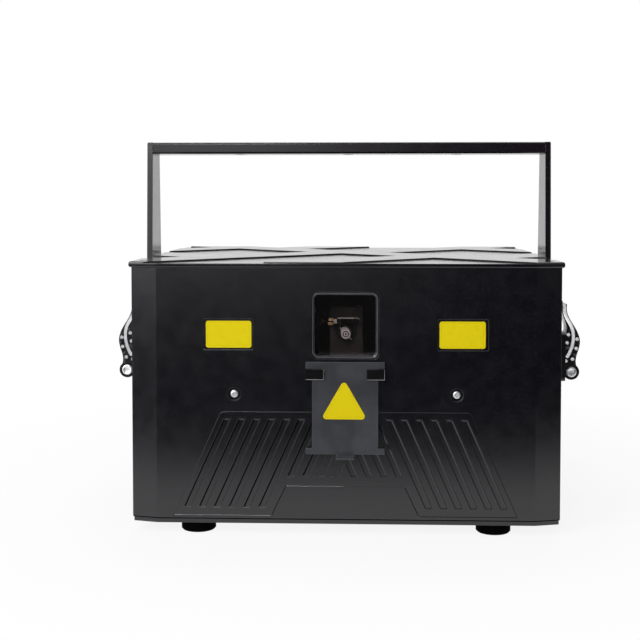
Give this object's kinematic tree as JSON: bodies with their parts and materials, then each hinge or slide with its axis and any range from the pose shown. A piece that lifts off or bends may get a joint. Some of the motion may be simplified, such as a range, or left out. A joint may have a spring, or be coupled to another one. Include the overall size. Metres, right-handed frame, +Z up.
{
  "type": "laser show projector",
  "caption": "Black box-shaped show laser with a beam window behind a sliding shutter, scanning mirrors, rear fans and a tilting yoke clamped by quick-release levers.",
  "frame": {"origin": "on the floor under the middle of the case", "axes": "+Z up, +X to the right as the front is seen, front towards -Y"},
  "size_m": [0.4948, 0.4025, 0.3733],
  "materials": {
    "black_coat": "fine matt black powder coat on aluminium",
    "trim_coat": "satin black powder coat",
    "yoke_coat": "satin black powder coat",
    "shutter_grey": "satin dark grey paint on steel sheet",
    "guide_black": "moulded matt black",
    "foot_rubber": "matt",
    "gasket_rubber": "matt",
    "black_screw": "black oxide",
    "bright_steel": "polished",
    "zinc_steel": "zinc plated",
    "mill_aluminium": "as milled",
    "black_anodised": "black anodised",
    "motor_steel": "turned",
    "shaft_brass": "turned",
    "scan_mirror": "front surface mirror",
    "filter_glass": "coated",
    "window_glass": "anti-reflection coated",
    "circuit_board": "solder mask",
    "fan_plastic": "moulded black",
    "connector_plastic": "moulded black",
    "socket_steel": "nickel plated"
  },
  "bodies": {
    "case": {"aperture_gasket": "gasket_rubber", "aperture_glass": "window_glass", "base_plate": "black_coat", "bench_pillars": "mill_aluminium", "blue_laser": "black_anodised", "control_board": "circuit_board", "corner_posts": "mill_aluminium", "cover_screws": "black_screw", "dichroic_filters": "filter_glass", "dmx_input": "connector_plastic", "dmx_output": "connector_plastic", "filter_holders": "black_anodised", "foot_screws": "black_screw", "front_panel": "black_coat", "front_screws": "bright_steel", "front_trim": "trim_coat", "galvo_driver_board": "circuit_board", "galvo_mount": "black_anodised", "green_laser": "black_anodised", "key_switch": "socket_steel", "left_clamp_block": "black_anodised", "left_clamp_skewer": "bright_steel", "left_fan_frame": "fan_plastic", "left_pivot_boss": "black_anodised", "left_side_panel": "black_coat", "mains_inlet": "connector_plastic", "optical_bench": "mill_aluminium", "panel_screws": "black_screw", "power_supply": "mill_aluminium", "rear_panel": "black_coat", "red_laser": "black_anodised", "right_clamp_block": "black_anodised", "right_clamp_skewer": "bright_steel", "right_fan_frame": "fan_plastic", "right_pivot_boss": "black_anodised", "right_side_panel": "black_coat", "rubber_feet": "foot_rubber", "safety_bracket": "zinc_steel", "show_control_sockets": "socket_steel", "shutter_guides": "guide_black", "top_cover": "black_coat", "x_galvo_motor": "motor_steel", "y_galvo_motor": "motor_steel"},
    "yoke": {"yoke_bar": "yoke_coat", "left_yoke_arm": "yoke_coat", "right_yoke_arm": "yoke_coat", "yoke_screws": "black_screw", "clamp_inserts": "zinc_steel"},
    "shutter": {"shutter_plate": "shutter_grey"},
    "left_lever": {"left_clamp_lever": "black_anodised"},
    "right_lever": {"right_clamp_lever": "black_anodised"},
    "x_scanner": {"x_mirror_shaft": "motor_steel", "x_mirror": "scan_mirror"},
    "y_scanner": {"y_mirror_shaft": "shaft_brass", "y_mirror": "scan_mirror"},
    "left_fan": {"left_fan_rotor": "fan_plastic"},
    "right_fan": {"right_fan_rotor": "fan_plastic"},
    "key": {"key_plug": "socket_steel", "switch_key": "socket_steel"}
  },
  "joints": [
    {"name": "yoke_tilt", "type": "hinge", "parent": "case", "child": "yoke", "pos_m": [0, 0, 0.129], "axis": [1, 0, 0], "range_deg": [-180, 180]},
    {"name": "shutter_slide", "type": "slide", "parent": "case", "child": "shutter", "axis": [0, 0, 1], "range_m": [0, 0.0642]},
    {"name": "right_lever_swing", "type": "hinge", "parent": "case", "child": "right_lever", "pos_m": [0.2384, 0, 0.129], "axis": [0, 1, 0], "range_deg": [0, 115]},
    {"name": "left_lever_swing", "type": "hinge", "parent": "case", "child": "left_lever", "pos_m": [-0.2384, 0, 0.129], "axis": [0, -1, 0], "range_deg": [0, 115]},
    {"name": "x_mirror_scan", "type": "hinge", "parent": "case", "child": "x_scanner", "pos_m": [0, -0.14, 0.184], "axis": [0, 1, 0], "range_deg": [-12, 12]},
    {"name": "y_mirror_scan", "type": "hinge", "parent": "case", "child": "y_scanner", "pos_m": [0, -0.14, 0.1955], "axis": [1, 0, 0], "range_deg": [-12, 12]},
    {"name": "right_fan_spin", "type": "hinge", "parent": "case", "child": "right_fan", "pos_m": [0.12, 0.1703, 0.16], "axis": [0, 1, 0], "continuous": true},
    {"name": "left_fan_spin", "type": "hinge", "parent": "case", "child": "left_fan", "pos_m": [-0.12, 0.1703, 0.16], "axis": [0, 1, 0], "continuous": true},
    {"name": "key_turn", "type": "hinge", "parent": "case", "child": "key", "pos_m": [0.15, 0.188, 0.062], "axis": [0, 1, 0], "range_deg": [0, 90]}
  ]
}
